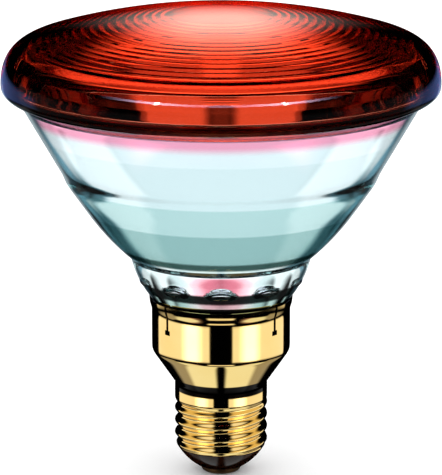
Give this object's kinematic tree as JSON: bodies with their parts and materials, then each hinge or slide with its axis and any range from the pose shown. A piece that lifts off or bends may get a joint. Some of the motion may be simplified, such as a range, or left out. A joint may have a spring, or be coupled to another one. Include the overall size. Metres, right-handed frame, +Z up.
{
  "type": "infrared reflector lamp",
  "caption": "Infrared heat lamp bulb: domed red glass lens sealed to a silvered pressed-glass reflector, with a slit brass skirt, a screw shell and a centre contact that fit a lampholder.",
  "frame": {"origin": "centre of the contact's face at the tip of the cap, on the lamp's axis", "axes": "+Z up the lamp's axis from the contact to the crown of the lens; X across the filament; -Y is the side pictured"},
  "size_m": [0.122, 0.122, 0.1331],
  "materials": {
    "ruby_glass": "pressed, glossy, red all through",
    "silvered_glass": "pressed clear glass, bright silvering on the inner wall of the bowl",
    "brass": "bright drawn sheet",
    "contact_brass": "stamped plate",
    "dark_glass": "moulded, glossy, nearly black",
    "solder": "solder, satin",
    "clear_glass": "clear drawn glass",
    "nickel_iron": "drawn thimble, satin",
    "nickel_wire": "drawn wire, satin",
    "tungsten": "coiled wire, dark grey",
    "tinned_copper": "tinned wire"
  },
  "bodies": {
    "root": {"front_lens": "ruby_glass", "reflector_bowl": "silvered_glass", "base_skirt": "brass", "screw_shell": "brass", "insulator": "dark_glass", "centre_contact": "contact_brass", "contact_solder": "solder", "shell_solder": "solder", "exhaust_tube": "clear_glass", "ferrule_left": "nickel_iron", "ferrule_right": "nickel_iron", "post_left": "nickel_wire", "post_right": "nickel_wire", "post_bridge": "clear_glass", "filament": "tungsten", "filament_anchor": "nickel_wire", "contact_lead": "tinned_copper", "shell_lead": "tinned_copper"}
  },
  "joints": []
}
